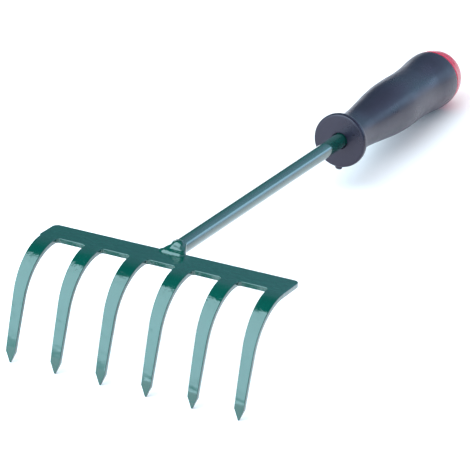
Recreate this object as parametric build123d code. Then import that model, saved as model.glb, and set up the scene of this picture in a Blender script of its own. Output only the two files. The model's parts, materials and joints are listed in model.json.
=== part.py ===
from build123d import *
from math import atan2, cos, degrees, radians, sin
import os

# Hand rake: a stamped and bent steel head with six tines, a round steel shaft welded to the
# back edge of the head, and a rubber grip over a plastic core on the other end of the shaft.
#
# Millimetres. The pieces are first built on a bench frame: the bar of the head lies flat with
# its underside at Z = 0 and its back edge at Y = 0, the tines point to -Y and bend down, and
# the shaft runs to +Y. At the end everything is laid down as the rake lies on a floor, on its
# tine tips and the butt of its grip: Z = 0 is the floor, and the origin is the middle of the
# footprint. +X runs across the head, +Y from the head to the grip.

# ---- driving dimensions -----------------------------------------------------------------------

# Head: one blank of sheet steel
SHEET = 2.5                 # thickness of the steel sheet
TINE_COUNT = 6
TINE_PITCH = 24.0
BAR_DEPTH = 15.8            # back edge to the ends of the slots
BAR_LEFT_STEP = 1.1         # how far the bar's -X end stands out past the outer tine's edge
BAR_RIGHT_STEP = 0.0        # the +X end is sheared flush with the tine
BAR_CORNER = 3.0            # rounding of the bar's two back corners
ROOT_WIDTH = 8.8            # tine width where it leaves the bar
ROOT_LENGTH = 1.6           # flat stretch before the bend starts
ROOT_FILLET = 1.5           # rounding at the ends of the slots
BEND_RADIUS = 27.6          # outer face of the bend
BEND_ANGLE = 77.0           # degrees
BEND_END_WIDTH = 6.1        # tine width at the end of the bend
STRAIGHT_LENGTH = 26.6      # straight stretch after the bend, without the point
POINT_WIDTH = 5.0           # tine width where the point starts
POINT_LENGTH = 5.6
POINT_BLUNT = 0.7           # width left at the very tip
POINT_THICKNESS = 0.9       # the outer face is ground down to this at the tip

# Shaft: round steel rod
SHAFT_DIAMETER = 8.0
SHAFT_EXPOSED = 185.0       # head's back edge to the front face of the guard
SHAFT_IN_HANDLE = 92.0
FLAT_LENGTH = 20.0          # two pressed flats that lock the rod in the core
FLAT_DEPTH = 0.9
SHAFT_END_CHAMFER = 0.8

# Weld between the two: overlapping puddles, a row on the bar and two rings around the rod
ROW_RADIUS = 2.3
ROW_COUNT = 6
ROW_LEFT = -7.0             # the row runs on past the rod on its -X side
ROW_RIGHT = 3.4
ROW_FORWARD = 2.4           # centres this far in front of the bar's back edge
RING_RADIUS = 2.1           # puddles at the rod's end
RING_COUNT = 9
RING_PROUD = 0.8            # how far they stand out past the rod's surface
RING_BACK = 0.6             # centres this far behind the bar's back edge
RING_SPREAD = 100.0         # degrees each side of the rod's top
CAP_RADIUS = 1.8            # puddles further up the rod, over its top only
CAP_COUNT = 5
CAP_PROUD = 0.5
CAP_BACK = 3.4
CAP_SPREAD = 55.0           # degrees each side of the rod's top

# Grip: black rubber, with the guard in one piece
GUARD_DIAMETER = 29.0
GUARD_THICKNESS = 3.6
GUARD_EDGE = 0.9            # rounding of the guard's rim, front and back
GUARD_FLARE = 0.9           # the rubber is this much thicker all round right behind the guard
NECK_DIAMETER = 21.3
NECK_AT = 20.0              # distances along the grip, from the guard's front face
SWELL_DIAMETER = 29.0
SWELL_AT = 65.0
WAIST_DIAMETER = 28.8
WAIST_AT = 98.0
BUTT_DIAMETER = 31.7
BUTT_AT = 119.5
RIM_DIAMETER = 31.6         # where the rubber ends on the rounded butt
RIM_AT = 122.5
RIM_WALL = 1.5              # the rubber is this thick where it ends against the dome
GATE_NUB_WIDTH = 3.0        # moulding nub at the foot of the guard
GATE_NUB_HEIGHT = 1.6

# Core: red plastic, moulded around the rod, seen as a dome at the butt
CORE_NOSE_DIAMETER = 14.0
CORE_START = 5.0            # rubber left in front of the core's nose
CORE_BODY_DIAMETER = 21.0
DOME_HEIGHT = 15.5          # dome past the rubber's rim
DOME_SHOULDER = 3.5         # how far in from the rim the dome's shoulder ends
DOME_CROWN = 3.0            # how far the dome's middle bulges past its shoulder
DOME_LEAN = 0.14            # slope at which the dome leaves the rim

# ---- worked out from them ---------------------------------------------------------------------

HEAD_SPAN = (TINE_COUNT - 1) * TINE_PITCH
BAR_LEFT = -(HEAD_SPAN + ROOT_WIDTH) / 2 - BAR_LEFT_STEP
BAR_RIGHT = (HEAD_SPAN + ROOT_WIDTH) / 2 + BAR_RIGHT_STEP
TINE_X = [(i - (TINE_COUNT - 1) / 2) * TINE_PITCH for i in range(TINE_COUNT)]
BEND_START_Y = -(BAR_DEPTH + ROOT_LENGTH)
SHAFT_Z = SHAFT_DIAMETER / 2            # rod and bar lie on one plane while they are welded
GUARD_Y = SHAFT_EXPOSED
ROD_END_Y = GUARD_Y + SHAFT_IN_HANDLE


def bar_blank():
    """The flat of the head: the bar and the roots of its tines, with rounded corners."""
    length = BAR_RIGHT - BAR_LEFT
    bar = Pos((BAR_LEFT + BAR_RIGHT) / 2, -BAR_DEPTH / 2) * Rectangle(length, BAR_DEPTH)
    bar = fillet(bar.vertices().group_by(Axis.Y)[-1], BAR_CORNER)
    root_y = -BAR_DEPTH - ROOT_LENGTH / 2
    for x in TINE_X:
        bar += Pos(x, root_y) * Rectangle(ROOT_WIDTH, ROOT_LENGTH)
    inner = (HEAD_SPAN + ROOT_WIDTH) / 2 - ROOT_WIDTH / 2
    slot_ends = [v for v in bar.vertices() if abs(v.Y + BAR_DEPTH) < 0.01 and abs(v.X) < inner]
    bar = fillet(slot_ends, ROOT_FILLET)
    return extrude(bar, SHEET)


def tine(x):
    """One tine at x: a tapered strip, bent down and then straight, with a pointed end."""
    mid_radius = BEND_RADIUS - SHEET / 2
    bend = radians(BEND_ANGLE)
    start = Vector(0, BEND_START_Y, SHEET / 2)
    centre_z = SHEET / 2 - mid_radius
    bend_end = Vector(0, BEND_START_Y - mid_radius * sin(bend), centre_z + mid_radius * cos(bend))
    half = bend / 2
    bend_mid = Vector(0, BEND_START_Y - mid_radius * sin(half), centre_z + mid_radius * cos(half))
    along = Vector(0, -cos(bend), -sin(bend))
    strip_end = bend_end + along * STRAIGHT_LENGTH
    path = Wire([Edge.make_three_point_arc(start, bend_mid, bend_end), Edge.make_line(bend_end, strip_end)])
    across = Vector(1, 0, 0)
    sections = [
        Plane(start, across, Vector(0, -1, 0)) * Rectangle(ROOT_WIDTH, SHEET),
        Plane(bend_end, across, along) * Rectangle(BEND_END_WIDTH, SHEET),
        Plane(strip_end, across, along) * Rectangle(POINT_WIDTH, SHEET),
    ]
    strip = sweep(sections, path=path, multisection=True)
    outward = Vector(0, -sin(bend), cos(bend))
    ground = outward * ((POINT_THICKNESS - SHEET) / 2)
    point = loft([
        Plane(strip_end, across, along) * Rectangle(POINT_WIDTH, SHEET),
        Plane(strip_end + along * POINT_LENGTH + ground, across, along) * Rectangle(POINT_BLUNT, POINT_THICKNESS),
    ])
    return Pos(x, 0, 0) * (strip + point)


def rake_head():
    """Bar and tines, one piece of steel."""
    head = bar_blank()
    for x in TINE_X:
        head += tine(x)
    return head


def shaft():
    """Round rod from the bar's back edge into the handle's core."""
    rod = Cylinder(SHAFT_DIAMETER / 2, ROD_END_Y, align=(Align.CENTER, Align.CENTER, Align.MIN))
    rod = chamfer(rod.edges().group_by(Axis.Z)[-1], SHAFT_END_CHAMFER)
    for side in (-1, 1):
        flat = Box(
            SHAFT_DIAMETER, SHAFT_DIAMETER, FLAT_LENGTH,
            align=(Align.CENTER, Align.CENTER, Align.MAX),
        )
        away = SHAFT_DIAMETER - FLAT_DEPTH
        rod -= Pos(side * away, 0, ROD_END_Y - FLAT_LENGTH / 2) * flat
    return Pos(0, 0, SHAFT_Z) * Rot(X=-90) * rod


def puddle_ring(count, radius, proud, back, spread):
    """Puddles around the rod, spread degrees each side of its top."""
    reach = SHAFT_DIAMETER / 2 + proud - radius
    ring = []
    for i in range(count):
        angle = radians(90 + spread * (2 * i / (count - 1) - 1))
        ring.append(Pos(reach * cos(angle), back, SHAFT_Z + reach * sin(angle)) * Sphere(radius))
    return ring


def weld_bead(head, rod):
    """One bead of overlapping puddles in front of, around and over the rod's end."""
    row_step = (ROW_RIGHT - ROW_LEFT) / (ROW_COUNT - 1)
    row = [Pos(ROW_LEFT + i * row_step, -ROW_FORWARD, SHEET) * Sphere(ROW_RADIUS) for i in range(ROW_COUNT)]
    ring = puddle_ring(RING_COUNT, RING_RADIUS, RING_PROUD, RING_BACK, RING_SPREAD)
    cap = puddle_ring(CAP_COUNT, CAP_RADIUS, CAP_PROUD, CAP_BACK, CAP_SPREAD)
    puddles = row + ring + cap
    bead = puddles[0].fuse(*puddles[1:])
    reach = 4 * SHAFT_DIAMETER
    bead &= Box(reach, reach, reach, align=(Align.CENTER, Align.CENTER, Align.MIN))
    return bead - head - rod


def along_shaft(profile):
    """Revolves an outline of (distance along the grip, radius) about the shaft's axis."""
    body = revolve(profile, Axis.X)
    return Pos(0, GUARD_Y, SHAFT_Z) * Rot(Z=90) * body


def handle_core(rod):
    """Plastic core moulded around the rod, flaring to the dome at the butt."""
    nose = CORE_NOSE_DIAMETER / 2
    body = CORE_BODY_DIAMETER / 2
    rim = RIM_DIAMETER / 2
    top = RIM_AT + DOME_HEIGHT
    line = Polyline((CORE_START, 0), (CORE_START, nose), (NECK_AT, nose), (SWELL_AT, body), (WAIST_AT, body))
    flare = Spline((WAIST_AT, body), (RIM_AT, rim - RIM_WALL), tangents=((1, 0), (1, 0)))
    step = Line((RIM_AT, rim - RIM_WALL), (RIM_AT, rim))
    shoulder = Spline(
        (RIM_AT, rim), (top - DOME_CROWN, rim - DOME_SHOULDER), (top, 0),
        tangents=((1, -DOME_LEAN), (0, -1)),
    )
    close = Line((top, 0), (CORE_START, 0))
    profile = make_face(Curve() + [line, flare, step, shoulder, close])
    return along_shaft(profile) - rod


def rubber_grip(core, rod):
    """Rubber sleeve with the guard at its front, open at the butt around the dome."""
    guard = GUARD_DIAMETER / 2
    neck = NECK_DIAMETER / 2
    flare = neck + GUARD_FLARE
    swell = SWELL_DIAMETER / 2
    waist = WAIST_DIAMETER / 2
    butt = BUTT_DIAMETER / 2
    rim = RIM_DIAMETER / 2
    front = Polyline((0, 0), (0, guard), (GUARD_THICKNESS, guard), (GUARD_THICKNESS, flare))
    side = Spline(
        (GUARD_THICKNESS, flare), (NECK_AT, neck), (SWELL_AT, swell), (WAIST_AT, waist),
        (BUTT_AT, butt), (RIM_AT, rim),
    )
    close = Polyline((RIM_AT, rim), (RIM_AT, 0), (0, 0))
    profile = make_face(Curve() + [front, side, close])
    rim_corners = [v for v in profile.vertices() if v.X < NECK_AT and abs(v.Y - guard) < 0.01]
    profile = fillet(rim_corners, GUARD_EDGE)
    grip = along_shaft(profile)
    nub = Pos(0, GUARD_Y + GUARD_THICKNESS / 2, SHAFT_Z - guard) * Box(
        GATE_NUB_WIDTH, GUARD_THICKNESS / 2, 2 * GATE_NUB_HEIGHT
    )
    grip += nub
    return grip - core - rod


def resting_tilt(head, grip):
    """Angle that brings the tine tips and the grip's butt down to one floor."""
    tilt = 0.0
    for _ in range(8):
        head_box = (Rot(X=-tilt) * head).bounding_box()
        grip_box = (Rot(X=-tilt) * grip).bounding_box()
        reach = GUARD_Y + BUTT_AT - head_box.min.Y
        tilt += degrees(atan2(grip_box.min.Z - head_box.min.Z, reach))
    return tilt


head = rake_head()
rod = shaft()
weld = weld_bead(head, rod)
core = handle_core(rod)
grip = rubber_grip(core, rod)
pieces = {
    "rake_head": head,
    "shaft": rod,
    "weld_bead": weld,
    "handle_core": core,
    "rubber_grip": grip,
}

tilt = resting_tilt(head, grip)
laid_down = Compound(children=[Rot(X=-tilt) * piece for piece in pieces.values()]).bounding_box()
middle_y = (laid_down.min.Y + laid_down.max.Y) / 2
rest = Pos(0, -middle_y, -laid_down.min.Z) * Rot(X=-tilt)

os.makedirs("parts", exist_ok=True)
for name, piece in pieces.items():
    export_step(rest * piece, f"parts/{name}.step")
print("resting tilt", round(tilt, 3), "bench origin at y", round(-middle_y, 3), "z", round(-laid_down.min.Z, 3))
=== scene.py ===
# %% [markdown]
# # A hand rake, built piece by piece
#
# The rake has five real pieces: a stamped and bent steel head, a round steel shaft, the weld that
# joins them, a red plastic core moulded on the shaft, and a black rubber grip over the core.
# The measured model of the same rake is loaded first. It fixes the size and the place of every
# piece, so nothing has to be fitted by eye: a new piece is built where the measured one is, and
# stands for it.

# %% Load the measured model
import bmesh
import bpy
import json
import math
from mathutils import Matrix, Vector


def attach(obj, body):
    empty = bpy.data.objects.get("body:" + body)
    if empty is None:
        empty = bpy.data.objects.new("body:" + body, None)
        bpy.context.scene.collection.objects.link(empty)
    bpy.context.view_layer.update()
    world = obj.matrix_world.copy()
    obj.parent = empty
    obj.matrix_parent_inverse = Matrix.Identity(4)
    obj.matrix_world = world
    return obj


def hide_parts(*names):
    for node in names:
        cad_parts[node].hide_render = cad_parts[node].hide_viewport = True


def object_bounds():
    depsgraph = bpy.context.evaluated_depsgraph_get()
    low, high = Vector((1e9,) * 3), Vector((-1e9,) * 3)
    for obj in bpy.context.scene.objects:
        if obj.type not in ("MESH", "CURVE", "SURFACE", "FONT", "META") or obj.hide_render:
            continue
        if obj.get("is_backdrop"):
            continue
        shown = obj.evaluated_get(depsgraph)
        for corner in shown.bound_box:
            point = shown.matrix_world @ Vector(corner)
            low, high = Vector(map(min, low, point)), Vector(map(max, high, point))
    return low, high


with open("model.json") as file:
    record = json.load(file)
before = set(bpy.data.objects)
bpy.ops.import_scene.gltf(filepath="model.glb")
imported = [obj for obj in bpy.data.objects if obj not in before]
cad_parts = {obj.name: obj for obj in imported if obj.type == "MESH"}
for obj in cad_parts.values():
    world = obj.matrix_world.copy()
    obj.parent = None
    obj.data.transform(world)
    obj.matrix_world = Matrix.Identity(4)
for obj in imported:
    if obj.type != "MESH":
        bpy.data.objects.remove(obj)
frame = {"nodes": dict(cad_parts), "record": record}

cad_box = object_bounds()
print("pieces in the measured model:", sorted(frame["nodes"]))
print("its box:", [[round(v, 4) for v in corner] for corner in cad_box])

# %% [markdown]
# ## From the bench to the floor
#
# The rake lies on its tine tips and the butt of its grip, so no piece of it is level. Modelling
# each piece at that slant would make every number awkward. Instead the pieces are modelled flat,
# as on a bench: millimetres, the bar of the head lying on Z = 0 with its back edge on Y = 0, the
# tines to -Y, the shaft to +Y. One matrix then lays a finished mesh down on the floor. The slant
# comes from the record, which says which way the underside of the bar faces.

# %% The matrix that lays the rake down
MM = 0.001
BAR_DEPTH = 15.8
MOUNT_ON_BENCH = Vector((-40.0, -BAR_DEPTH / 2, 0.0)) * MM

underside = frame["record"]["mounts"][0]
down = Vector(underside["axis"])
tilt = math.atan2(-down.y, -down.z)
turn = Matrix.Rotation(-tilt, 4, "X")
bench_origin = Vector(underside["pos_m"]) - turn @ MOUNT_ON_BENCH
BENCH_TO_FLOOR = Matrix.Translation(bench_origin) @ turn @ Matrix.Scale(MM, 4)
print("the rake lies at", round(math.degrees(tilt), 2), "degrees")

# %% [markdown]
# Every piece ends in the same way: its doubles are merged, its normals are turned outwards, it is
# laid down with the matrix, and it becomes an object that stands for one measured piece. Weighted
# normals keep the broad faces flat while the narrow rounded edges take all of the shading.

# %% Turn a bench mesh into a finished piece
def finish_piece(shape, name, stands_for, flat_faces=True):
    """Lays the bench mesh down and makes it the object that stands for one measured piece."""
    bmesh.ops.remove_doubles(shape, verts=shape.verts[:], dist=0.0005)
    bmesh.ops.recalc_face_normals(shape, faces=shape.faces[:])
    bmesh.ops.transform(shape, matrix=BENCH_TO_FLOOR, verts=shape.verts[:])
    mesh = bpy.data.meshes.new(name)
    shape.to_mesh(mesh)
    shape.free()
    mesh.shade_smooth()
    piece = bpy.data.objects.new(name, mesh)
    bpy.context.scene.collection.objects.link(piece)
    if flat_faces:
        even = piece.modifiers.new("even_shading", "WEIGHTED_NORMAL")
        even.weight = 60
        even.keep_sharp = True
    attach(piece, "root")
    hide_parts(stands_for)
    print(name, "has", len(mesh.polygons), "faces")
    return piece


# %% [markdown]
# ## The head
#
# The real head is one blank of 2.5 mm sheet steel: a bar with six strips, which a press bends down
# and whose ends are ground to points. A solid block with slots cut out of it would give the same
# outline, but the bend would be hard to keep even. So the piece is made as the factory makes it:
# first the sheet with no thickness, then the bend, then the thickness.

# %% Dimensions of the head
SHEET = 2.5
TINE_COUNT = 6
TINE_PITCH = 24.0
BAR_LEFT_STEP = 1.1
BAR_CORNER = 3.0
ROOT_WIDTH = 8.8
ROOT_LENGTH = 1.6
ROOT_FILLET = 1.5
BEND_RADIUS = 27.6
BEND_ANGLE = math.radians(77.0)
BEND_END_WIDTH = 6.1
STRAIGHT_LENGTH = 26.6
POINT_WIDTH = 5.0
POINT_LENGTH = 5.6
POINT_BLUNT = 0.7
POINT_THICKNESS = 0.9

FIRST_TINE = -(TINE_COUNT - 1) * TINE_PITCH / 2
TINE_X = [FIRST_TINE + i * TINE_PITCH for i in range(TINE_COUNT)]
BEND_START = -(BAR_DEPTH + ROOT_LENGTH)
BEND_CENTRE = Vector((0.0, BEND_START, SHEET - BEND_RADIUS))
ALONG_TINE = Vector((0.0, -math.cos(BEND_ANGLE), -math.sin(BEND_ANGLE)))
print("tines at", TINE_X)


# %% Widths of the tines
def nearest_tine(x):
    """The place across the head of the tine that x belongs to."""
    return min(TINE_X, key=lambda centre: abs(centre - x))


def tine_edge(centre, side, width, flare):
    """Where one edge of a tine runs. It flares out only where it faces a slot."""
    at_end = (centre == TINE_X[0] and side < 0) or (centre == TINE_X[-1] and side > 0)
    return centre + side * (width / 2 + (0.0 if at_end else flare))


def set_width(verts, width, flare=0.0):
    """Brings the two edges of every tine to this width."""
    for vert in verts:
        centre = nearest_tine(vert.co.x)
        side = math.copysign(1.0, vert.co.x - centre)
        vert.co.x = tine_edge(centre, side, width, flare)


def pull(shape, edges, move, width, flare=0.0):
    """Extrudes the free ends of the strips by move and gives them a new width."""
    out = bmesh.ops.extrude_edge_only(shape, edges=edges)["geom"]
    verts = [g for g in out if isinstance(g, bmesh.types.BMVert)]
    bmesh.ops.translate(shape, verts=verts, vec=move)
    set_width(verts, width, flare)
    return [g for g in out if isinstance(g, bmesh.types.BMEdge) and set(g.verts) <= set(verts)]


# %% [markdown]
# The sheet starts as the back edge of the bar, a row of points joined by edges. Extruding that row
# gives the bar, and extruding only the edges that lie on a tine gives the roots of the strips. The
# roots start wide and narrow down along a quarter circle, which leaves the slot ends rounded.

# %% The flat sheet: bar and roots
sheet = bmesh.new()
stations = [TINE_X[0] - ROOT_WIDTH / 2 - BAR_LEFT_STEP]
for centre in TINE_X:
    stations.append(tine_edge(centre, -1.0, ROOT_WIDTH, ROOT_FILLET))
    stations.append(tine_edge(centre, 1.0, ROOT_WIDTH, ROOT_FILLET))
back_row = [sheet.verts.new((x, 0.0, SHEET)) for x in stations]
back_edges = [sheet.edges.new(pair) for pair in zip(back_row, back_row[1:])]

grown = bmesh.ops.extrude_edge_only(sheet, edges=back_edges)["geom"]
front_verts = [g for g in grown if isinstance(g, bmesh.types.BMVert)]
bmesh.ops.translate(sheet, verts=front_verts, vec=(0.0, -BAR_DEPTH, 0.0))
ends = []
for edge in grown:
    if isinstance(edge, bmesh.types.BMEdge) and set(edge.verts) <= set(front_verts):
        middle = (edge.verts[0].co.x + edge.verts[1].co.x) / 2
        if abs(middle - nearest_tine(middle)) < ROOT_FILLET:
            ends.append(edge)

FILLET_STEPS = 6
gone = 0.0
for step in range(1, FILLET_STEPS + 1):
    angle = math.pi / 2 * step / FILLET_STEPS
    depth = ROOT_FILLET * (1 - math.cos(angle))
    flare = ROOT_FILLET * (1 - math.sin(angle))
    ends = pull(sheet, ends, Vector((0.0, gone - depth, 0.0)), ROOT_WIDTH, flare)
    gone = depth
ends = pull(sheet, ends, Vector((0.0, gone - ROOT_LENGTH, 0.0)), ROOT_WIDTH)

bmesh.ops.dissolve_limit(
    sheet, angle_limit=math.radians(1.0), verts=sheet.verts[:], edges=sheet.edges[:],
)
corners = [v for v in sheet.verts if v.co.y > -0.001]
bmesh.ops.bevel(
    sheet, geom=corners, offset=BAR_CORNER, offset_type="OFFSET", segments=6,
    profile=0.5, affect="VERTICES", material=-1,
)
ends = [e for e in sheet.edges if all(v.co.y < BEND_START + 0.001 for v in e.verts)]
print("the flat sheet has", len(sheet.faces), "faces and", len(ends), "strips")

# %% [markdown]
# The bend is a spin about a line under the roots, in many small steps, so that its reflections run
# round without corners. Each step is then narrowed in step with its angle. A nearly straight
# stretch and the point follow. Steel springs back a little where the press lets go of it, so the
# straight stretch is left with a trace of bend, which no eye sees but every reflection shows.

# %% Bend the strips down and draw them out to points
BEND_STEPS = 33
spun = bmesh.ops.spin(
    sheet, geom=ends, cent=BEND_CENTRE, axis=(1.0, 0.0, 0.0), dvec=(0.0, 0.0, 0.0),
    angle=BEND_ANGLE, steps=BEND_STEPS, use_merge=False, use_duplicate=False,
)
for vert in sheet.verts:
    arm = vert.co - BEND_CENTRE
    angle = math.atan2(-arm.y, arm.z)
    if vert.co.y < BEND_START - 0.001 and angle > 0:
        share = min(1.0, angle / BEND_ANGLE)
        set_width([vert], ROOT_WIDTH + share * (BEND_END_WIDTH - ROOT_WIDTH))
ends = [g for g in spun["geom_last"] if isinstance(g, bmesh.types.BMEdge)]

STRAIGHT_STEPS = 8
SPRING = math.radians(2.4)
for step in range(1, STRAIGHT_STEPS + 1):
    share = step / STRAIGHT_STEPS
    width = BEND_END_WIDTH + share * (POINT_WIDTH - BEND_END_WIDTH)
    lean = Matrix.Rotation(SPRING * (share - 0.5), 4, "X")
    ends = pull(sheet, ends, lean @ ALONG_TINE * STRAIGHT_LENGTH / STRAIGHT_STEPS, width)
ends = pull(sheet, ends, ALONG_TINE * POINT_LENGTH, POINT_BLUNT)
tips = {v for edge in ends for v in edge.verts}
print("the tips are", round(-min(v.co.z for v in tips), 1), "mm below the bar")

# %% [markdown]
# Thickness comes last. Solidify offsets the sheet to its inner side and closes the edges. Then the
# outer face of each point is ground down, and the flat faces of the bar are made one, because the
# edge rounding that follows needs clean borders. Paint never covers a sharp edge: it pulls back
# into a soft round, and that round is what catches the light along every tine.

# %% Thickness, ground points and painted edges
EDGE_ROUND = 0.34
outer_tips = [v for v in sheet.verts if v in tips]
OUTWARD = Vector((0.0, -math.sin(BEND_ANGLE), math.cos(BEND_ANGLE)))
bmesh.ops.recalc_face_normals(sheet, faces=sheet.faces[:])
if max(sheet.faces, key=lambda face: face.calc_area()).normal.z < 0:
    bmesh.ops.reverse_faces(sheet, faces=sheet.faces[:])
bmesh.ops.solidify(sheet, geom=sheet.faces[:], thickness=SHEET)
low = min(v.co.z for v in sheet.verts if v.co.y > -1.0)
print("underside of the bar at", round(low, 3))

tip_reach = max(v.co.dot(ALONG_TINE) for v in sheet.verts)
face_level = max(v.co.dot(OUTWARD) for v in sheet.verts if v.co.dot(ALONG_TINE) > tip_reach - 0.01)
for vert in sheet.verts:
    at_tip = vert.co.dot(ALONG_TINE) > tip_reach - 0.01
    if at_tip and vert.co.dot(OUTWARD) > face_level - 0.5:
        vert.co -= OUTWARD * (SHEET - POINT_THICKNESS)

bmesh.ops.recalc_face_normals(sheet, faces=sheet.faces[:])
level_edges = []
for edge in sheet.edges:
    if len(edge.link_faces) == 2 and all(abs(f.normal.z) > 0.9999 for f in edge.link_faces):
        level_edges.append(edge)
bmesh.ops.dissolve_edges(sheet, edges=level_edges, use_verts=False)
hard_edges = []
for edge in sheet.edges:
    if len(edge.link_faces) == 2 and edge.calc_face_angle() > math.radians(35):
        hard_edges.append(edge)
bmesh.ops.bevel(
    sheet, geom=hard_edges, offset=EDGE_ROUND, offset_type="OFFSET", segments=3,
    profile=0.5, affect="EDGES", clamp_overlap=True, material=-1,
)
head = finish_piece(sheet, "painted_head", "rake_head")

# %% [markdown]
# ## The shaft
#
# The shaft is a plain round bar of 8 mm steel, butted on the back of the head and pushed 92 mm into
# the handle. Its hidden end has two pressed flats, which stop it from turning in the plastic. A
# stretched cylinder would do for the part in sight, but it has nowhere to put the flats. So the
# rod starts as a circle that is extruded from one change of section to the next. The short chamfer
# and the ring behind it keep the flat end from bending the shading of the long round side.

# %% Shaft
SHAFT_RADIUS = 4.0
SHAFT_Z = 4.0
GUARD_Y = 185.0
SHAFT_IN_HANDLE = 92.0
FLAT_LENGTH = 20.0
FLAT_RUN_IN = 1.0
FLAT_HALF = 3.1
END_CHAMFER = 0.8
START_CHAMFER = 0.3
START_RING = 0.3
SHAFT_SIDES = 72

rod = bmesh.new()
upright = Matrix.Translation((0.0, 0.0, SHAFT_Z)) @ Matrix.Rotation(math.pi / 2, 4, "X")
start_radius = SHAFT_RADIUS - START_CHAMFER
bmesh.ops.create_circle(rod, cap_ends=True, segments=SHAFT_SIDES, radius=start_radius, matrix=upright)
rod_end = GUARD_Y + SHAFT_IN_HANDLE
flats_start = rod_end - FLAT_LENGTH
stretches = [
    (START_CHAMFER, SHAFT_RADIUS / start_radius), (START_RING, 1.0),
    (GUARD_Y - START_CHAMFER - START_RING, 1.0), (flats_start - GUARD_Y, 1.0), (FLAT_RUN_IN, 1.0),
    (FLAT_LENGTH - FLAT_RUN_IN - END_CHAMFER, 1.0),
    (END_CHAMFER, 1 - END_CHAMFER / SHAFT_RADIUS),
]
face = rod.faces[:]
for length, scale in stretches:
    out = bmesh.ops.extrude_face_region(rod, geom=face)["geom"]
    verts = [g for g in out if isinstance(g, bmesh.types.BMVert)]
    face = [g for g in out if isinstance(g, bmesh.types.BMFace)]
    bmesh.ops.translate(rod, verts=verts, vec=(0.0, length, 0.0))
    bmesh.ops.scale(
        rod, verts=verts, vec=(scale, 1.0, scale), space=Matrix.Translation((0.0, 0.0, -SHAFT_Z)),
    )
for vert in rod.verts:
    if vert.co.y > flats_start + FLAT_RUN_IN / 2:
        vert.co.x = max(-FLAT_HALF, min(FLAT_HALF, vert.co.x))
print("the shaft is", round(max(v.co.y for v in rod.verts), 1), "mm long")
shaft = finish_piece(rod, "painted_shaft", "shaft")

# %% [markdown]
# ## The weld
#
# A welder leaves one puddle on the next. On this rake a row of them lies on the bar, one side
# running further than the other, more fill the throat between the bar and the end of the rod, and
# a collar wraps the rod. It could be sculpted, but then every change of mind starts again. Here
# overlapping balls, each a place and a radius, are remeshed into one skin and then relaxed, which
# gives the fused, lumpy look.

# %% Weld puddles
TOE = [
    (-7.2, -1.9, 2.2, 1.7), (-5.6, -2.3, 2.2, 2.0), (-3.6, -2.3, 2.2, 2.1), (-1.2, -2.6, 2.1, 2.1),
    (0.9, -2.4, 2.1, 2.0), (2.9, -2.6, 2.0, 1.9), (4.2, -1.6, 2.1, 1.7),
]
THROAT = [
    (-5.8, -0.2, 2.3, 1.9), (-4.4, 0.1, 3.2, 2.1), (-2.4, 0.0, 3.5, 2.0), (-0.4, 0.0, 3.5, 1.9),
    (1.5, 0.0, 3.2, 1.9), (3.0, -0.3, 2.5, 1.9),
]
COLLAR_COUNT = 8
COLLAR_SPREAD = 104.0
COLLAR_RADIUS = 2.1
COLLAR_PROUD = 0.35
COLLAR_BACK = 1.0
COLLAR_WANDER = 0.55
COLLAR_SWELL = 0.16
CAP = [(-3.0, 2.4, 5.8, 1.5), (-1.5, 3.0, 6.6, 1.5), (0.6, 2.4, 6.8, 1.5), (2.5, 2.6, 6.0, 1.4)]
VOXEL = 0.28 * MM
RELAX_SHARE = 0.5
RELAX_ROUNDS = 60

puddles = bmesh.new()


def puddle(x, y, z, radius):
    """One ball of the weld."""
    place = Matrix.Translation((x, y, z))
    bmesh.ops.create_icosphere(puddles, subdivisions=3, radius=radius, matrix=place)


for spot in TOE + THROAT + CAP:
    puddle(*spot)
for i in range(COLLAR_COUNT):
    angle = math.radians(90 + COLLAR_SPREAD * (2 * i / (COLLAR_COUNT - 1) - 1))
    uneven = math.sin(2.4 * i + 0.5)
    reach = SHAFT_RADIUS + COLLAR_PROUD - COLLAR_RADIUS
    x = reach * math.cos(angle)
    z = SHAFT_Z + reach * math.sin(angle)
    puddle(x, COLLAR_BACK + COLLAR_WANDER * uneven, z, COLLAR_RADIUS + COLLAR_SWELL * uneven)

weld = finish_piece(puddles, "painted_weld", "weld_bead", flat_faces=False)
remesh = weld.modifiers.new("fuse", "REMESH")
remesh.mode = "VOXEL"
remesh.voxel_size = VOXEL
relax = weld.modifiers.new("relax", "SMOOTH")
relax.factor = RELAX_SHARE
relax.iterations = RELAX_ROUNDS
fused = bpy.data.meshes.new_from_object(weld.evaluated_get(bpy.context.evaluated_depsgraph_get()))
weld.modifiers.clear()
weld.data = fused
weld.data.shade_smooth()
print("the fused weld has", len(fused.polygons), "faces")

# %% [markdown]
# ## The grip and its core
#
# Both are round about the shaft, so each is an outline spun about the shaft's axis. The outline of
# the rubber goes out along the guard's face, round its rim, down to the neck, along the swell for
# the palm to the butt, and back inside along the core. A subdivision surface then rounds it, as a
# mould does: points close together keep a tight edge, points far apart give a long soft curve.
# The rubber stays thick up to its end, where it butts against a step of the core, and the core
# goes on as the dome. That is how a second shot of rubber is stopped in a real mould.

# %% Spin an outline about the shaft
SPIN_STEPS = 56


def turned(outline, closed):
    """Spins an outline of (distance behind the guard's face, radius) about the shaft."""
    shape = bmesh.new()
    verts = [shape.verts.new((radius, GUARD_Y + along, SHAFT_Z)) for along, radius in outline]
    pairs = list(zip(verts, verts[1:]))
    if closed:
        pairs.append((verts[-1], verts[0]))
    edges = [shape.edges.new(pair) for pair in pairs]
    bmesh.ops.spin(
        shape, geom=verts + edges, cent=(0.0, 0.0, SHAFT_Z), axis=(0.0, 1.0, 0.0),
        dvec=(0.0, 0.0, 0.0), angle=2 * math.pi, steps=SPIN_STEPS, use_merge=True,
        use_duplicate=False,
    )
    bmesh.ops.remove_doubles(shape, verts=shape.verts[:], dist=0.001)
    return shape


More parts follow.
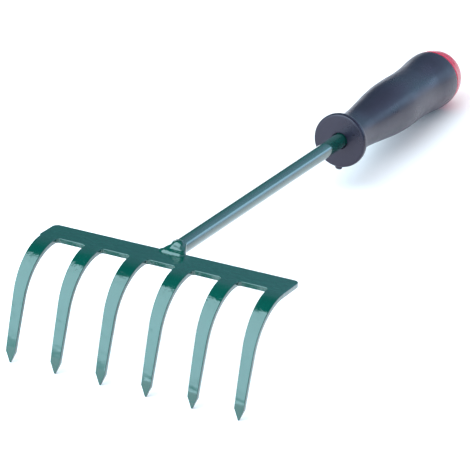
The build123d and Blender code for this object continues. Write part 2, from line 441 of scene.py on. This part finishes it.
# %% Rubber grip with its guard
GUARD_FACE = [(0.0, 4.02), (0.0, 4.5), (0.0, 9.0), (0.0, 13.2)]
GUARD_RIM = [
    (0.05, 13.8), (0.35, 14.3), (0.95, 14.52), (2.65, 14.52), (3.25, 14.3), (3.55, 13.8),
]
GUARD_BACK = [(3.6, 13.2), (3.62, 12.4), (3.8, 11.9), (4.4, 11.55)]
PALM = [
    (6.5, 11.3), (10.0, 10.93), (15.0, 10.7), (20.0, 10.64), (25.0, 10.82), (32.0, 11.37),
    (40.0, 12.2), (48.0, 13.13), (56.0, 13.95), (64.0, 14.5), (72.0, 14.6), (80.0, 14.42),
    (88.0, 14.24), (96.0, 14.31), (104.0, 14.83), (110.0, 15.4), (115.0, 15.8), (119.0, 15.93),
]
LIP = [(121.4, 15.9), (122.1, 15.8), (122.4, 15.55), (122.45, 15.1)]
INSIDE = [
    (122.4, 14.5), (120.0, 14.35), (116.0, 13.85), (110.0, 12.4), (104.0, 11.15), (98.0, 10.55),
    (65.0, 10.5), (20.0, 6.98), (5.1, 6.98), (5.05, 4.02),
]
rubber = turned(GUARD_FACE + GUARD_RIM + GUARD_BACK + PALM + LIP + INSIDE, closed=True)

NUB_WIDTH = 5.0
NUB_HEIGHT = 3.8
NUB_THICKNESS = 2.4
NUB_BACK = 1.8
NUB_BELOW_SHAFT = 14.6
nub_place = Matrix.Translation((0.0, GUARD_Y + NUB_BACK, SHAFT_Z - NUB_BELOW_SHAFT))
nub_size = Matrix.Diagonal((NUB_WIDTH, NUB_THICKNESS, NUB_HEIGHT, 1.0))
bmesh.ops.create_cube(rubber, size=1.0, matrix=nub_place @ nub_size)
grip = finish_piece(rubber, "moulded_grip", "rubber_grip", flat_faces=False)
soften = grip.modifiers.new("moulded_round", "SUBSURF")
soften.levels = 2
soften.render_levels = 2

# %% Plastic core with its dome
CORE_FRONT = [(5.1, 4.02), (5.1, 6.9)]
CORE_BODY = [
    (20.0, 6.9), (65.0, 10.4), (98.0, 10.4), (104.0, 11.0), (110.0, 12.25), (116.0, 13.7),
    (120.0, 14.2), (122.4, 14.3),
]
DOME = [
    (122.5, 15.0), (122.6, 15.5), (122.95, 15.74), (123.8, 15.66), (125.0, 15.46), (127.0, 15.16),
    (129.5, 14.72), (131.5, 14.22), (133.3, 13.45), (134.8, 12.45), (136.0, 11.15), (136.9, 9.5),
    (137.6, 7.2), (137.9, 4.6), (138.0, 2.2), (138.0, 0.0),
]
BORE = [(92.2, 0.0), (92.2, 4.02)]
plastic = turned(CORE_FRONT + CORE_BODY + DOME, closed=False)
bore = turned(BORE + [(5.1, 4.02)], closed=False)
bore_mesh = bpy.data.meshes.new("bore")
bore.to_mesh(bore_mesh)
bore.free()
plastic.from_mesh(bore_mesh)
bpy.data.meshes.remove(bore_mesh)
core = finish_piece(plastic, "moulded_core", "handle_core", flat_faces=False)
soften = core.modifiers.new("moulded_round", "SUBSURF")
soften.levels = 1
soften.render_levels = 1

# %% [markdown]
# ## Finishes
#
# Two effects come back in more than one finish, so each is a node group with its own inputs. One
# is a fine unevenness of the surface, which goes into the height of a bump. The other is a soft
# patchiness, which goes into roughness: no real surface is equally smooth all over, and a gloss
# that is the same everywhere is what makes a model look like a toy.


# %% Helpers for node trees
def add_node(tree, kind, place, **settings):
    """Adds one node at a place in the editor and sets its properties."""
    node = tree.nodes.new(kind)
    node.location = place
    for key, value in settings.items():
        setattr(node, key, value)
    return node


def new_group(name, inputs, outputs):
    """An empty node group with named number inputs and outputs."""
    group = bpy.data.node_groups.new(name, "ShaderNodeTree")
    for label, kind, value in inputs:
        socket = group.interface.new_socket(name=label, in_out="INPUT", socket_type=kind)
        if value is not None:
            socket.default_value = value
    for label, kind in outputs:
        group.interface.new_socket(name=label, in_out="OUTPUT", socket_type=kind)
    start = add_node(group, "NodeGroupInput", (-700, 0))
    end = add_node(group, "NodeGroupOutput", (500, 0))
    return group, start, end


# %% Group: uneven skin
skin, skin_in, skin_out = new_group(
    "uneven_skin",
    [
        ("Place", "NodeSocketVector", None), ("Wave Scale", "NodeSocketFloat", 90.0),
        ("Grain Scale", "NodeSocketFloat", 700.0), ("Grain Share", "NodeSocketFloat", 0.3),
    ],
    [("Height", "NodeSocketFloat")],
)
wave = add_node(skin, "ShaderNodeTexNoise", (-450, 120))
wave.inputs["Detail"].default_value = 2.0
grain = add_node(skin, "ShaderNodeTexNoise", (-450, -160))
grain.inputs["Detail"].default_value = 3.0
blend = add_node(skin, "ShaderNodeMix", (-120, 0), data_type="FLOAT")
skin.links.new(skin_in.outputs["Place"], wave.inputs["Vector"])
skin.links.new(skin_in.outputs["Place"], grain.inputs["Vector"])
skin.links.new(skin_in.outputs["Wave Scale"], wave.inputs["Scale"])
skin.links.new(skin_in.outputs["Grain Scale"], grain.inputs["Scale"])
skin.links.new(skin_in.outputs["Grain Share"], blend.inputs[0])
skin.links.new(wave.outputs["Fac"], blend.inputs[2])
skin.links.new(grain.outputs["Fac"], blend.inputs[3])
skin.links.new(blend.outputs[0], skin_out.inputs["Height"])
print("group", skin.name, "ready")

# %% Group: soft patches
patches, patches_in, patches_out = new_group(
    "soft_patches",
    [
        ("Place", "NodeSocketVector", None), ("Scale", "NodeSocketFloat", 40.0),
        ("Low", "NodeSocketFloat", 0.2), ("High", "NodeSocketFloat", 0.4),
    ],
    [("Value", "NodeSocketFloat"), ("Mask", "NodeSocketFloat")],
)
cloud = add_node(patches, "ShaderNodeTexNoise", (-450, 0))
cloud.inputs["Detail"].default_value = 4.0
cloud.inputs["Roughness"].default_value = 0.6
spread = add_node(patches, "ShaderNodeMapRange", (-200, 100), interpolation_type="SMOOTHSTEP")
spread.inputs["From Min"].default_value = 0.32
spread.inputs["From Max"].default_value = 0.68
span = add_node(patches, "ShaderNodeMapRange", (100, 0))
patches.links.new(patches_in.outputs["Place"], cloud.inputs["Vector"])
patches.links.new(patches_in.outputs["Scale"], cloud.inputs["Scale"])
patches.links.new(cloud.outputs["Fac"], spread.inputs["Value"])
patches.links.new(spread.outputs["Result"], span.inputs["Value"])
patches.links.new(patches_in.outputs["Low"], span.inputs["To Min"])
patches.links.new(patches_in.outputs["High"], span.inputs["To Max"])
patches.links.new(span.outputs["Result"], patches_out.inputs["Value"])
patches.links.new(spread.outputs["Result"], patches_out.inputs["Mask"])
print("group", patches.name, "ready")


# %% A material with both groups in place
def finish(name, skin_values, patch_values, bump_depth):
    """Makes a material whose bump comes from uneven_skin and whose roughness from soft_patches."""
    material = bpy.data.materials.new(name)
    material.use_nodes = True
    tree = material.node_tree
    shader = tree.nodes["Principled BSDF"]
    place = add_node(tree, "ShaderNodeTexCoord", (-1100, 0)).outputs["Object"]
    uneven = add_node(tree, "ShaderNodeGroup", (-800, -300), node_tree=skin)
    for label, value in zip(("Wave Scale", "Grain Scale", "Grain Share"), skin_values):
        uneven.inputs[label].default_value = value
    soft = add_node(tree, "ShaderNodeGroup", (-800, 0), node_tree=patches)
    for label, value in zip(("Scale", "Low", "High"), patch_values):
        soft.inputs[label].default_value = value
    bump = add_node(tree, "ShaderNodeBump", (-400, -300))
    bump.inputs["Strength"].default_value = 1.0
    bump.inputs["Distance"].default_value = bump_depth
    tree.links.new(place, uneven.inputs["Place"])
    tree.links.new(place, soft.inputs["Place"])
    tree.links.new(uneven.outputs["Height"], bump.inputs["Height"])
    tree.links.new(bump.outputs["Normal"], shader.inputs["Normal"])
    tree.links.new(soft.outputs["Value"], shader.inputs["Roughness"])
    return material, tree, shader, place, soft


def two_tones(tree, shader, mask, first, second):
    """Base colour between two tones, mixed by a mask that changes over the surface."""
    tones = add_node(tree, "ShaderNodeMix", (-300, 250), data_type="RGBA")
    tones.inputs[6].default_value = (*first, 1.0)
    tones.inputs[7].default_value = (*second, 1.0)
    tree.links.new(mask, tones.inputs[0])
    tree.links.new(tones.outputs[2], shader.inputs["Base Color"])
    return tones


# %% [markdown]
# ### Green enamel
#
# The head, weld and shaft were dipped in one dark green gloss enamel. A wet coat settles into
# faint waves a few millimetres long with a finer orange peel on them, and the reflections get
# their ragged borders from both. Where the coat pooled it is a touch darker. A clear coat over the
# colour gives the second, harder highlight of a baked enamel. On the head the waves fade toward
# the tips, so the coat there is smooth.

# %% Green enamel
PAINT_DARK = (0.0008, 0.040, 0.031)
PAINT_LIGHT = (0.0015, 0.058, 0.044)


def green_enamel(name, skin_values, patch_values, bump_depth):
    """The enamel, with waves as strong as this piece's coat has them."""
    material, tree, shader, place, soft = finish(name, skin_values, patch_values, bump_depth)
    shader.inputs["IOR"].default_value = 1.55
    shader.inputs["Coat Weight"].default_value = 0.7
    shader.inputs["Coat Roughness"].default_value = 0.02
    shader.inputs["Coat IOR"].default_value = 1.5
    pooled = add_node(tree, "ShaderNodeTexNoise", (-700, 350))
    pooled.inputs["Scale"].default_value = 34.0
    pooled.inputs["Detail"].default_value = 5.0
    tree.links.new(place, pooled.inputs["Vector"])
    two_tones(tree, shader, pooled.outputs["Fac"], PAINT_DARK, PAINT_LIGHT)
    return material


def settle(tree, low, high, least):
    """Weakens the waves toward the floor end, where the wet coat ran thin and smooth."""
    height_split = add_node(tree, "ShaderNodeSeparateXYZ", (-900, -520))
    calm = add_node(tree, "ShaderNodeMapRange", (-700, -520))
    calm.inputs["From Min"].default_value = low
    calm.inputs["From Max"].default_value = high
    calm.inputs["To Min"].default_value = least
    weaker = add_node(tree, "ShaderNodeMath", (-550, -400), operation="MULTIPLY")
    bump = tree.nodes["Bump"]
    uneven = bump.inputs["Height"].links[0].from_socket
    tree.links.new(tree.nodes["Texture Coordinate"].outputs["Object"], height_split.inputs["Vector"])
    tree.links.new(height_split.outputs["Z"], calm.inputs["Value"])
    tree.links.new(uneven, weaker.inputs[0])
    tree.links.new(calm.outputs["Result"], weaker.inputs[1])
    tree.links.new(weaker.outputs["Value"], bump.inputs["Height"])


SMOOTH_BELOW = 0.020
FULL_WAVES_ABOVE = 0.036
WAVES_LEFT = 0.15
head_enamel = green_enamel("green_enamel_head", (290.0, 900.0, 0.12), (70.0, 0.05, 0.11), 0.00036)
settle(head_enamel.node_tree, SMOOTH_BELOW, FULL_WAVES_ABOVE, WAVES_LEFT)
shaft_enamel = green_enamel("green_enamel_shaft", (150.0, 800.0, 0.10), (60.0, 0.07, 0.14), 0.00006)
weld_enamel = green_enamel("green_enamel_weld", (330.0, 1100.0, 0.25), (90.0, 0.08, 0.18), 0.00035)
for piece, coat in ((head, head_enamel), (shaft, shaft_enamel), (weld, weld_enamel)):
    piece.data.materials.append(coat)
    print(piece.name, "wears", coat.name)

# %% [markdown]
# ### Black rubber
#
# Moulded rubber is never quite black. Its skin has a fine grain from the mould, it is a little
# duller where the mould release stayed on it, and it shines softly at a low angle. That last part
# is what the sheen is for.

# %% Black rubber
RUBBER_DARK = (0.004, 0.004, 0.008)
RUBBER_DUSTY = (0.009, 0.009, 0.020)
rubber_finish, tree, shader, place, soft = finish(
    "black_rubber_satin", (160.0, 1500.0, 0.55), (55.0, 0.26, 0.38), 0.00005,
)
shader.inputs["IOR"].default_value = 1.52
shader.inputs["Sheen Weight"].default_value = 0.05
shader.inputs["Sheen Roughness"].default_value = 0.45
shader.inputs["Sheen Tint"].default_value = (0.66, 0.64, 1.0, 1.0)
shader.inputs["Specular Tint"].default_value = (1.0, 0.86, 1.0, 1.0)
dust = add_node(tree, "ShaderNodeTexNoise", (-700, 350))
dust.inputs["Scale"].default_value = 95.0
dust.inputs["Detail"].default_value = 6.0
tree.links.new(place, dust.inputs["Vector"])
two_tones(tree, shader, dust.outputs["Fac"], RUBBER_DARK, RUBBER_DUSTY)
grip.data.materials.append(rubber_finish)

# %% [markdown]
# ### Red plastic
#
# The core is coloured right through. Its dome came out of a polished mould, so it is smoother than
# the rubber, with only a trace of flow marks.

# %% Red plastic
RED_DEEP = (0.44, 0.006, 0.038)
RED_CLEAR = (0.56, 0.012, 0.060)
red_finish, tree, shader, place, soft = finish(
    "red_plastic_gloss", (140.0, 1100.0, 0.3), (60.0, 0.22, 0.32), 0.00004,
)
shader.inputs["IOR"].default_value = 1.5
shader.inputs["Coat Weight"].default_value = 0.15
two_tones(tree, shader, soft.outputs["Mask"], RED_DEEP, RED_CLEAR)
core.data.materials.append(red_finish)
print("rubber and plastic ready")

# %% [markdown]
# ## Floor, light and camera
#
# A glossy tool shows its surroundings more than its own colour, so the light is arranged by what
# each face mirrors. The upright fronts of the tines look to the front left, where one large panel
# leans from low in front to high over the left side. A level panel carries it on overhead, and
# its far edge is where the pale part of each bend begins. Two low strips under it light the tips.
# The flat of the bar looks to the back, at a dimmer, cooler wall, and the rod mirrors a narrow
# panel to the right of it as one bright line. Straight above the rake it is dark, which leaves the
# deep green band at the top of the bends. A wide pale floor lights everything from below.

# %% Floor
FLOOR_REACH = 3.0
FLOOR_COLOUR = (0.86, 0.88, 0.93, 1.0)
floor_shape = bmesh.new()
bmesh.ops.create_grid(floor_shape, x_segments=8, y_segments=8, size=FLOOR_REACH)
floor_mesh = bpy.data.meshes.new("pale_floor")
floor_shape.to_mesh(floor_mesh)
floor_shape.free()
floor = bpy.data.objects.new("pale_floor", floor_mesh)
bpy.context.scene.collection.objects.link(floor)
floor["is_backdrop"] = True
floor_paint = bpy.data.materials.new("matt_pale_board")
floor_paint.use_nodes = True
board = floor_paint.node_tree.nodes["Principled BSDF"]
board.inputs["Base Color"].default_value = FLOOR_COLOUR
board.inputs["Roughness"].default_value = 0.9
board.inputs["Specular IOR Level"].default_value = 0.1
floor_mesh.materials.append(floor_paint)
print("the floor is", 2 * FLOOR_REACH, "m wide")

# %% [markdown]
# The room is a gradient from the horizon to overhead, dimmer on the left than on the right. Only
# mirrored rays see it. The camera sees a plain pale wall, and the soft light that falls on dull
# surfaces comes evenly from all round, so that the rake throws almost no shadow.

# %% Room light
room = bpy.data.worlds.new("soft_room")
bpy.context.scene.world = room
room.use_nodes = True
tree = room.node_tree
tree.nodes.clear()
sky_place = add_node(tree, "ShaderNodeTexCoord", (-900, 0))
split = add_node(tree, "ShaderNodeSeparateXYZ", (-700, 0))
ramp = add_node(tree, "ShaderNodeValToRGB", (-450, 0))
lit = add_node(tree, "ShaderNodeBackground", (-100, 0))
plain = add_node(tree, "ShaderNodeBackground", (-100, -200))
rays = add_node(tree, "ShaderNodeLightPath", (-100, 250))
pick = add_node(tree, "ShaderNodeMixShader", (150, 0))
ambient = add_node(tree, "ShaderNodeBackground", (150, -200))
fill = add_node(tree, "ShaderNodeMixShader", (350, 0))
room_out = add_node(tree, "ShaderNodeOutputWorld", (550, 0))
ROOM_TONES = [
    (0.0, (0.14, 0.18, 0.28)), (0.08, (0.16, 0.24, 0.38)), (0.17, (0.36, 0.80, 1.00)),
    (0.33, (0.42, 0.68, 0.92)), (0.45, (0.50, 0.62, 0.94)), (0.60, (0.48, 0.58, 0.90)),
    (0.66, (0.30, 0.37, 0.55)), (0.76, (0.02, 0.03, 0.04)), (0.9, (0.01, 0.01, 0.015)),
    (1.0, (0.01, 0.01, 0.015)),
]
DIM_SIDE = -0.50
BRIGHT_SIDE = 0.37
DIM_SHARE = 0.16
BRIGHT_SHARE = 1.4
WALL_COLOUR = (0.93, 0.94, 0.95, 1.0)
SOFT_COLOUR = (1.0, 0.955, 0.925, 1.0)
SOFT_STRENGTH = 1.1
ramp.color_ramp.elements[0].position = ROOM_TONES[0][0]
ramp.color_ramp.elements[0].color = (*ROOM_TONES[0][1], 1.0)
ramp.color_ramp.elements[1].position = ROOM_TONES[-1][0]
ramp.color_ramp.elements[1].color = (*ROOM_TONES[-1][1], 1.0)
for at, colour in ROOM_TONES[1:-1]:
    ramp.color_ramp.elements.new(at).color = (*colour, 1.0)
across = add_node(tree, "ShaderNodeMapRange", (-450, 220))
across.inputs["From Min"].default_value = DIM_SIDE
across.inputs["From Max"].default_value = BRIGHT_SIDE
across.inputs["To Min"].default_value = DIM_SHARE
across.inputs["To Max"].default_value = BRIGHT_SHARE
tree.links.new(split.outputs["X"], across.inputs["Value"])
tree.links.new(across.outputs["Result"], lit.inputs["Strength"])
plain.inputs["Color"].default_value = WALL_COLOUR
ambient.inputs["Color"].default_value = SOFT_COLOUR
ambient.inputs["Strength"].default_value = SOFT_STRENGTH
tree.links.new(sky_place.outputs["Generated"], split.inputs["Vector"])
tree.links.new(split.outputs["Z"], ramp.inputs["Fac"])
tree.links.new(ramp.outputs["Color"], lit.inputs["Color"])
tree.links.new(rays.outputs["Is Camera Ray"], pick.inputs["Fac"])
tree.links.new(lit.outputs["Background"], pick.inputs[1])
tree.links.new(plain.outputs["Background"], pick.inputs[2])
tree.links.new(rays.outputs["Is Diffuse Ray"], fill.inputs["Fac"])
tree.links.new(pick.outputs["Shader"], fill.inputs[1])
tree.links.new(ambient.outputs["Background"], fill.inputs[2])
tree.links.new(fill.outputs["Shader"], room_out.inputs["Surface"])
print("the room has", len(ROOM_TONES), "tones from the horizon up")


# %% Light panels
def aim(place, target, roll=0.0):
    """A matrix that stands at place and looks at target, rolled about its line of sight."""
    sight = (Vector(target) - Vector(place)).to_track_quat("-Z", "Y").to_matrix().to_4x4()
    return Matrix.Translation(place) @ sight @ Matrix.Rotation(roll, 4, "Z")


def panel(name, place, target, size, radiance, colour):
    """A rectangular soft light. Its power follows from how bright its face is to look like."""
    light = bpy.data.lights.new(name, "AREA")
    light.shape = "RECTANGLE"
    light.size = size[0]
    light.size_y = size[1]
    light.energy = radiance * math.pi * size[0] * size[1]
    light.color = colour
    lamp = bpy.data.objects.new(name, light)
    bpy.context.scene.collection.objects.link(lamp)
    lamp.matrix_world = aim(place, target)
    lamp.visible_camera = False
    return lamp


HEAD_MIDDLE = (0.0, -0.165, 0.035)
SHAFT_MIDDLE = (0.0, 0.05, 0.03)
UNDER_PANEL = (-0.136, -0.366, 0.033)
COOL = (0.64, 0.90, 1.0)
COOLER = (0.54, 0.74, 1.0)
WARM = (1.0, 0.90, 0.84)
panel("front_left_panel", (-0.434, -0.806, 0.565), HEAD_MIDDLE, (1.10, 1.145), 4.8, COOL)
panel("over_left_panel", (-0.164, -0.407, 1.033), UNDER_PANEL, (1.10, 0.304), 4.4, COOL)
panel("low_front_panel", (-0.20, -1.25, 0.044), HEAD_MIDDLE, (0.52, 0.082), 4.8, COOL)
panel("low_left_panel", (-0.73, -1.00, 0.05), HEAD_MIDDLE, (0.75, 0.095), 2.0, COOL)
panel("right_back_panel", (0.96, 1.75, 0.33), SHAFT_MIDDLE, (0.40, 0.66), 2.3, COOLER)
overhead = panel("overhead_panel", (0.1, 0.0, 2.2), (0.0, 0.0, 0.0), (2.6, 2.6), 0.6, WARM)
overhead.visible_glossy = False

# %% [markdown]
# The camera stands in front and to the right, a good arm's length and a half away, with a long
# lens, so that the far end of the handle isn't much smaller than the tines.

# %% Camera
CAMERA_AZIMUTH = math.radians(26.019)
CAMERA_ELEVATION = math.radians(26.720)
CAMERA_ROLL = math.radians(0.612)
CAMERA_DISTANCE = 1.720
CAMERA_TARGET = Vector((-0.03423, -0.00076, -0.01030))
SENSOR = 36.0
FOCAL_LENGTH = 255.72

camera_data = bpy.data.cameras.new("camera")
camera_data.sensor_width = SENSOR
camera_data.lens = FOCAL_LENGTH
camera_data.clip_start = 0.05
camera_data.dof.use_dof = False
camera = bpy.data.objects.new("camera", camera_data)
bpy.context.scene.collection.objects.link(camera)
back = Vector((
    math.sin(CAMERA_AZIMUTH) * math.cos(CAMERA_ELEVATION),
    -math.cos(CAMERA_AZIMUTH) * math.cos(CAMERA_ELEVATION),
    math.sin(CAMERA_ELEVATION),
))
camera.matrix_world = aim(CAMERA_TARGET + back * CAMERA_DISTANCE, CAMERA_TARGET, CAMERA_ROLL)
bpy.context.scene.camera = camera
bpy.context.scene.view_settings.view_transform = "Standard"
print("camera at", [round(v, 3) for v in camera.matrix_world.translation])

# %% [markdown]
# The visual model must stay as large as the measured one. Its box is compared with the measured
# box, and the largest shift of any side is printed.

# %% Sizes, and the end
shown_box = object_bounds()
moved = [abs(a - b) for was, now in zip(cad_box, shown_box) for a, b in zip(was, now)]
print("no side of the box moved by more than", round(max(moved) / MM, 2), "mm")
